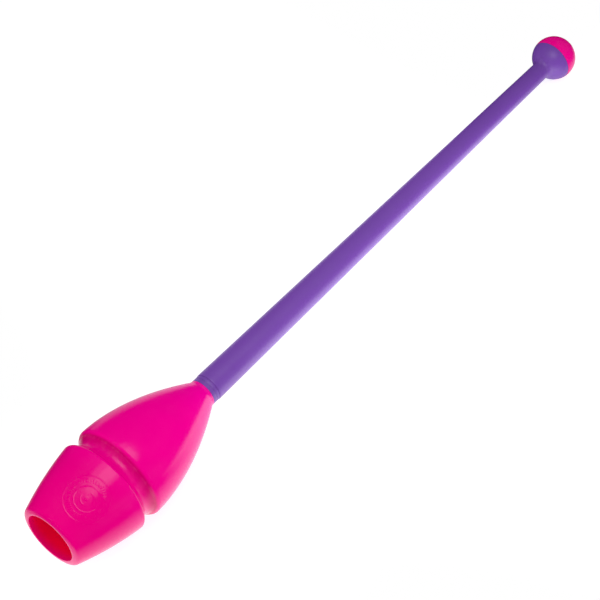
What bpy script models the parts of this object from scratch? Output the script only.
"""Connectable gymnastics club, lying on a floor with its open mouth towards -X and its ball towards +X.

Every piece is turned about the club's own axis. An outline is a list of (station, radius) points in
millimetres: stations run from the rim of the mouth, 0, to the tip of the ball, CLUB_LENGTH. One empty
carries all the pieces and lays the club down, so that its bulb and its ball both touch the floor.
"""
import math

import bmesh
import bpy

MM = 0.001
GAP = 0.3                   # clearance between pieces that touch
SEGMENTS = 48               # facets round the outside; a multiple of four, with a flat one facing down
INNER_SEGMENTS = 24         # facets round the pieces that are closed in
SHARP_ANGLE = 35.0          # edges sharper than this stay crisp
END_INSET = 2.0             # how far the points of a long curve stay from the rounds at its ends
EDGE_BREAK = 0.6            # small bevel on turned edges

# Whole club
CLUB_LENGTH = 450.0
BALL_RADIUS = 13.0
SHOULDER_RADIUS = 28.9      # the two shoulders, either side of the groove

# Mouth, lip and bell
MOUTH_RADIUS = 15.35
LIP_EDGE = 0.3              # small round on the inner edge of the lip
LIP_FLAT = 0.8              # width of the flat crest, on which the club can be stood upright
LIP_FALL = 16.0             # how far the lip's face leans back outside the crest, in degrees
LIP_OUT = 3.1               # reach of the face before it rounds over
LIP_BACK = 2.3              # reach of the round along the bell
LIP_END = 3.2               # where the round meets the bell
LIP_DEPTH = 11.0            # length of the lip's straight inner wall
BELL_TOP = 40.0
BELL_SLOPE = 0.132          # outward slope that is left at the bell's top
BELL_CURVE = 0.0028         # growth of that slope towards the mouth, per millimetre
BELL_EDGE_ROUND = 1.8
BELL_EDGE_ARC = (95, 15)    # first and last angle of that round, from the direction of the ball

# Groove
GROOVE_RADIUS = 25.2
RIB_INSET = 2.5             # foot of the groove's rib inside the skin, in from each shoulder

# Bulb
BULB_TOP = 53.2
BULB_EDGE_ROUND = 3.0
BULB_EDGE_ARC = (160, 90)
BULB_DROP = 0.01104
BULB_POWER = 1.808
BULB_END = 117.4
BODY_END = 118.6            # end of the short plain lip behind the bulb
BODY_END_RADIUS = 8.5

# Collar, neck and ball
COLLAR_LENGTH = 3.9
COLLAR_START = BODY_END + GAP
COLLAR_END = COLLAR_START + COLLAR_LENGTH
COLLAR_END_RADIUS = 8.2
NECK_START = COLLAR_END + GAP
NECK_START_RADIUS = 8.6
NECK_TIP_RADIUS = 5.45
NECK_EDGE = 0.4
BALL_CENTRE = CLUB_LENGTH - BALL_RADIUS
BALL_SPLIT = BALL_CENTRE - 2.5   # where the ball's two colours meet
BALL_FILLET = 1.2           # length of the blend from neck to ball

# Walls inside the body
WALL = 2.8                  # rubber skin
CAVITY_END = 110.0
FORMER_WALL = 1.5
FORMER_START = BULB_TOP + 1.5
FORMER_END = 108.0
FORMER_PLATE = 99.0
HUB_START = 91.0
HUB_WALL = 2.2

# Socket for the ball of another club
CUP_FRONT = LIP_DEPTH + GAP
CUP_WALL = 2.2
GRIP_RADIUS = 12.4          # a little under the ball, so that the cup holds it
GRIP_STATION = 33.0
POCKET_RADIUS = 13.3
POCKET_CENTRE = 38.0
POCKET_END = 48.5
WELL_RADIUS = 8.3
FLANGE_RADIUS = GROOVE_RADIUS - WALL - GAP
FLANGE_START = 48.0
FLANGE_END = 51.0
CUP_FLOOR = 57.3
CUP_END = 60.8
CUP_END_RADIUS = 11.0

# Fastening on the socket's floor
PAD_FRONT = POCKET_CENTRE + POCKET_RADIUS
PAD_THICKNESS = 2.5
WASHER_RADIUS = 5.5
WASHER_THICKNESS = 0.8
SCREW_RADIUS = 1.5
SCREW_HEAD_RADIUS = 3.2
SCREW_HEAD_HEIGHT = 1.8
SCREW_END = 76.0
DRIVE_RADIUS = 1.3          # recess for the screwdriver
DRIVE_DEPTH = 1.0
HOLE_RADIUS = SCREW_RADIUS + GAP

# Neck's root, core rod and ballast
ROOT_START = CUP_END + GAP
ROOT_RADIUS = 6.4
ROOT_FLANGE_RADIUS = 14.0
ROOT_FLANGE_END = ROOT_START + 3.0
BALLAST_LENGTH = 5.0
BALLAST_RADIUS = 13.0
CORE_RADIUS = 3.0
CORE_START = ROOT_START + 1.0
CORE_END = 425.5
CORE_HOLE_END = 78.0
BORE_RADIUS = CORE_RADIUS + GAP

# Finishes: colour, roughness, metallic
PINK = ((0.86, 0.0, 0.26), 0.30, 0.0)
PURPLE = ((0.188, 0.062, 0.43), 0.36, 0.0)
NATURAL = ((0.80, 0.78, 0.72), 0.55, 0.0)
STEEL = ((0.56, 0.57, 0.58), 0.35, 1.0)
FIBRE = ((0.62, 0.60, 0.46), 0.45, 0.0)
GREY_RUBBER = ((0.10, 0.10, 0.11), 0.75, 0.0)


def spread(first, last, steps):
    """Evenly spaced values from first to last."""
    return [first + (last - first) * step / steps for step in range(steps + 1)]


def arc(centre, radius, start, end, steps):
    """Points of an arc, with angles in degrees from the direction of the ball."""
    angles = [math.radians(angle) for angle in spread(start, end, steps)]
    return [(centre[0] + radius * math.cos(a), centre[1] + radius * math.sin(a)) for a in angles]


def bell_radius(station):
    below = BELL_TOP - station
    return SHOULDER_RADIUS - BELL_SLOPE * below - BELL_CURVE * below ** 2


def bulb_radius(station):
    above = max(station - BULB_TOP, 0.0)
    return SHOULDER_RADIUS - BULB_DROP * above ** BULB_POWER


def under_bulb(station, depth):
    """Radius of a surface that lies a given depth under the bulb's skin."""
    above = max(station - BULB_TOP, 0.0)
    slope = BULB_DROP * BULB_POWER * above ** (BULB_POWER - 1.0)
    return bulb_radius(station) - depth * math.hypot(1.0, slope)


def neck_radius(station):
    along = (station - NECK_START) / (BALL_CENTRE - BALL_RADIUS - NECK_START)
    return NECK_START_RADIUS + (NECK_TIP_RADIUS - NECK_START_RADIUS) * along


def pocket_radius(station):
    return math.sqrt(POCKET_RADIUS ** 2 - (station - POCKET_CENTRE) ** 2)


def mouth_taper(station):
    """Inner radius of the socket, easing from the mouth down to the grip."""
    along = (station - CUP_FRONT) / (GRIP_STATION - CUP_FRONT)
    eased = along * along * (3.0 - 2.0 * along)
    return MOUTH_RADIUS + (GRIP_RADIUS - MOUTH_RADIUS) * eased


def curve(corners, steps):
    """Points of a cubic Bezier curve after its first corner."""
    points = []
    for t in spread(0.0, 1.0, steps)[1:]:
        shares = ((1 - t) ** 3, 3 * t * (1 - t) ** 2, 3 * t * t * (1 - t), t ** 3)
        points.append(tuple(sum(share * corner[side] for share, corner in zip(shares, corners)) for side in (0, 1)))
    return points


def lip_points():
    """The rim: a small round on the inner edge, a flat crest, a face that leans back, and a round to the bell."""
    inner = arc((LIP_EDGE, MOUTH_RADIUS + LIP_EDGE), LIP_EDGE, 270, 180, 2)
    fall = math.radians(LIP_FALL)
    slope = BELL_SLOPE + 2 * BELL_CURVE * (BELL_TOP - LIP_END)
    first = (0.0, MOUTH_RADIUS + LIP_EDGE + LIP_FLAT)
    last = (LIP_END, bell_radius(LIP_END))
    handle_out = (LIP_OUT * math.sin(fall), first[1] + LIP_OUT * math.cos(fall))
    handle_back = (LIP_END - LIP_BACK, last[1] - LIP_BACK * slope)
    return inner + [first] + curve((first, handle_out, handle_back, last), 7)


def groove_points():
    """The groove and the rounds of the two shoulders on either side of it."""
    bell_edge = arc((BELL_TOP, SHOULDER_RADIUS - BELL_EDGE_ROUND), BELL_EDGE_ROUND, *BELL_EDGE_ARC, 4)
    bulb_edge = arc((BULB_TOP, SHOULDER_RADIUS - BULB_EDGE_ROUND), BULB_EDGE_ROUND, *BULB_EDGE_ARC, 4)
    first = bell_edge[-1]
    last = bulb_edge[0]
    middle = (first[0] + last[0]) / 2
    half = (last[0] - first[0]) / 2
    floor = []
    for across in spread(-1.0, 1.0, 8)[1:-1]:
        edge = first if across < 0 else last
        floor.append((middle + half * across, GROOVE_RADIUS + (edge[1] - GROOVE_RADIUS) * across ** 2))
    return bell_edge + floor + bulb_edge


def body_shell():
    bell = [(u, bell_radius(u)) for u in spread(LIP_END + END_INSET, BELL_TOP - END_INSET, 7)]
    bulb = [(u, bulb_radius(u)) for u in spread(BULB_TOP + END_INSET, BULB_END, 12)]
    end = [(BODY_END, BODY_END_RADIUS), (BODY_END, ROOT_RADIUS + GAP), (CAVITY_END, ROOT_RADIUS + GAP)]
    bulb_inside = [(u, under_bulb(u, WALL)) for u in spread(CAVITY_END, BULB_TOP, 8)]
    rib = [(u, GROOVE_RADIUS - WALL) for u in (BULB_TOP - RIB_INSET, BELL_TOP + RIB_INSET)]
    bell_inside = [(u, bell_radius(u) - WALL) for u in spread(BELL_TOP - END_INSET, LIP_DEPTH, 4)]
    inner_wall = [(LIP_DEPTH, MOUTH_RADIUS)]
    return lip_points() + bell + groove_points() + bulb + end + bulb_inside + rib + bell_inside + inner_wall


def socket_cup():
    taper = [(u, mouth_taper(u)) for u in spread(CUP_FRONT, GRIP_STATION, 8)]
    pocket = [(u, pocket_radius(u)) for u in spread(GRIP_STATION, POCKET_END, 8)[1:]]
    well = [(POCKET_END, WELL_RADIUS), (CUP_FLOOR, WELL_RADIUS), (CUP_FLOOR, HOLE_RADIUS)]
    back = [(CUP_END, HOLE_RADIUS), (CUP_END, CUP_END_RADIUS), (FLANGE_END, CUP_END_RADIUS)]
    flange = [(FLANGE_END, FLANGE_RADIUS), (FLANGE_START, FLANGE_RADIUS)]
    pocket_outside = [(u, pocket_radius(u) + CUP_WALL) for u in spread(FLANGE_START, GRIP_STATION, 5)]
    taper_outside = [(u, mouth_taper(u) + CUP_WALL) for u in spread(GRIP_STATION, CUP_FRONT, 6)[1:]]
    return taper + pocket[:-1] + well + back + flange + pocket_outside + taper_outside


def core_former():
    depth = WALL + GAP
    hub_radius = ROOT_RADIUS + GAP + HUB_WALL
    outside = [(u, under_bulb(u, depth)) for u in spread(FORMER_START, FORMER_END, 10)]
    bore = [(FORMER_END, ROOT_RADIUS + GAP), (HUB_START, ROOT_RADIUS + GAP)]
    hub = [(HUB_START, hub_radius), (FORMER_PLATE, hub_radius)]
    inside = [(u, under_bulb(u, depth + FORMER_WALL)) for u in spread(FORMER_PLATE, FORMER_START, 8)]
    return outside + bore + hub + inside


def ballast_ring():
    start = ROOT_FLANGE_END + GAP
    end = start + BALLAST_LENGTH
    inner = ROOT_RADIUS + GAP
    return [(start, inner), (start, BALLAST_RADIUS), (end, BALLAST_RADIUS), (end, inner)]


def neck_collar():
    inner = ROOT_RADIUS + GAP
    return [(COLLAR_START, inner), (COLLAR_START, BODY_END_RADIUS),
            (COLLAR_END, COLLAR_END_RADIUS), (COLLAR_END, inner)]


def neck_tube():
    root = [(ROOT_START, BORE_RADIUS), (ROOT_START, ROOT_FLANGE_RADIUS),
            (ROOT_FLANGE_END, ROOT_FLANGE_RADIUS), (ROOT_FLANGE_END, ROOT_RADIUS),
            (NECK_START, ROOT_RADIUS), (NECK_START, NECK_START_RADIUS - NECK_EDGE)]
    joint = BALL_CENTRE - math.sqrt(BALL_RADIUS ** 2 - NECK_TIP_RADIUS ** 2)
    neck = [(u, neck_radius(u)) for u in spread(NECK_START + NECK_EDGE, joint - BALL_FILLET, 4)]
    first = math.degrees(math.atan2(NECK_TIP_RADIUS + BALL_FILLET, joint - BALL_CENTRE + BALL_FILLET / 2))
    edge = BALL_SPLIT - GAP / 2
    last = math.degrees(math.acos((edge - BALL_CENTRE) / BALL_RADIUS))
    ball_seat = arc((BALL_CENTRE, 0.0), BALL_RADIUS, first, last, 7)
    return root + neck + ball_seat + [(edge, BORE_RADIUS)]


def ball_cap():
    edge = BALL_SPLIT + GAP / 2
    first = math.degrees(math.acos((edge - BALL_CENTRE) / BALL_RADIUS))
    spigot = [(CORE_END + GAP, 0.0), (CORE_END + GAP, CORE_RADIUS), (edge, CORE_RADIUS)]
    return spigot + arc((BALL_CENTRE, 0.0), BALL_RADIUS, first, 0, 9)


def core_rod():
    return [(CORE_START, HOLE_RADIUS), (CORE_START, CORE_RADIUS), (CORE_END, CORE_RADIUS),
            (CORE_END, 0.0), (CORE_HOLE_END, 0.0), (CORE_HOLE_END, HOLE_RADIUS)]


def socket_pad():
    back = PAD_FRONT + PAD_THICKNESS
    radius = WELL_RADIUS - GAP
    return [(PAD_FRONT, 0.0), (PAD_FRONT, radius - EDGE_BREAK), (PAD_FRONT + EDGE_BREAK, radius),
            (back, radius), (back, 0.0)]


def tie_screw():
    head = PAD_FRONT + PAD_THICKNESS + GAP
    seat = head + SCREW_HEAD_HEIGHT
    return [(head + DRIVE_DEPTH, 0.0), (head + DRIVE_DEPTH, DRIVE_RADIUS), (head, DRIVE_RADIUS),
            (head, SCREW_HEAD_RADIUS - EDGE_BREAK), (head + EDGE_BREAK, SCREW_HEAD_RADIUS),
            (seat, SCREW_HEAD_RADIUS), (seat, SCREW_RADIUS), (SCREW_END, SCREW_RADIUS), (SCREW_END, 0.0)]


def tie_washer():
    back = CUP_FLOOR - GAP
    front = back - WASHER_THICKNESS
    return [(front, HOLE_RADIUS), (front, WASHER_RADIUS), (back, WASHER_RADIUS), (back, HOLE_RADIUS)]


PIECES = [
    ("body_shell", body_shell(), PINK, SEGMENTS),
    ("socket_cup", socket_cup(), PINK, SEGMENTS),
    ("core_former", core_former(), NATURAL, INNER_SEGMENTS),
    ("ballast_ring", ballast_ring(), STEEL, INNER_SEGMENTS),
    ("neck_collar", neck_collar(), PURPLE, SEGMENTS),
    ("neck_tube", neck_tube(), PURPLE, SEGMENTS),
    ("ball_cap", ball_cap(), PINK, SEGMENTS),
    ("core_rod", core_rod(), FIBRE, INNER_SEGMENTS),
    ("socket_pad", socket_pad(), GREY_RUBBER, INNER_SEGMENTS),
    ("tie_screw", tie_screw(), STEEL, INNER_SEGMENTS),
    ("tie_washer", tie_washer(), STEEL, INNER_SEGMENTS),
]


def clear_scene():
    for item in list(bpy.data.objects):
        bpy.data.objects.remove(item, do_unlink=True)


def finish_material(name, finish):
    colour, roughness, metallic = finish
    material = bpy.data.materials.new(name)
    material.use_nodes = True
    shader = material.node_tree.nodes["Principled BSDF"]
    shader.inputs["Base Color"].default_value = (*colour, 1.0)
    shader.inputs["Roughness"].default_value = roughness
    shader.inputs["Metallic"].default_value = metallic
    return material


def turned(name, outline, finish, segments, parent):
    """Spin a closed outline, or one that starts and ends on the axis, once round the club's axis."""
    half_step = math.pi / segments
    bm = bmesh.new()
    points = [bm.verts.new((u * MM, r * MM * math.sin(half_step), r * MM * math.cos(half_step)))
              for u, r in outline]
    ends_on_axis = outline[0][1] == 0.0 and outline[-1][1] == 0.0
    pairs = list(zip(points, points[1:]))
    if not ends_on_axis:
        pairs.append((points[-1], points[0]))
    for first, second in pairs:
        bm.edges.new((first, second))
    bmesh.ops.spin(bm, geom=bm.verts[:] + bm.edges[:], cent=(0, 0, 0), axis=(1, 0, 0),
                   angle=2 * math.pi, steps=segments, use_merge=True)
    bmesh.ops.remove_doubles(bm, verts=bm.verts, dist=1e-7)
    bmesh.ops.recalc_face_normals(bm, faces=bm.faces)
    mesh = bpy.data.meshes.new(name)
    bm.to_mesh(mesh)
    bm.free()
    mesh.shade_smooth()
    mesh.set_sharp_from_angle(angle=math.radians(SHARP_ANGLE))
    mesh.materials.append(finish_material(name, finish))
    piece = bpy.data.objects.new(name, mesh)
    piece.parent = parent
    bpy.context.collection.objects.link(piece)
    return piece


def lay_down(outlines):
    """Tilt and place of the axis: bulb and ball on the floor, origin under the middle of the box."""
    flat = math.cos(math.pi / SEGMENTS)
    drop = (SHOULDER_RADIUS - BALL_RADIUS) * flat
    tilt = math.asin(drop / (BALL_CENTRE - BULB_TOP))
    points = [point for outline in outlines for point in outline]
    ends = [u * math.cos(tilt) + side * r * math.sin(tilt) * flat for u, r in points for side in (-1, 1)]
    lowest = min(-u * math.sin(tilt) - r * math.cos(tilt) * flat for u, r in points)
    middle = (min(ends) + max(ends)) / 2
    return tilt, (-middle * MM, 0.0, -lowest * MM)


def build():
    clear_scene()
    axis = bpy.data.objects.new("club_axis", None)
    bpy.context.collection.objects.link(axis)
    tilt, place = lay_down([outline for _, outline, _, _ in PIECES])
    axis.rotation_euler = (0.0, tilt, 0.0)
    axis.location = place
    for name, outline, finish, segments in PIECES:
        turned(name, outline, finish, segments, axis)


build()
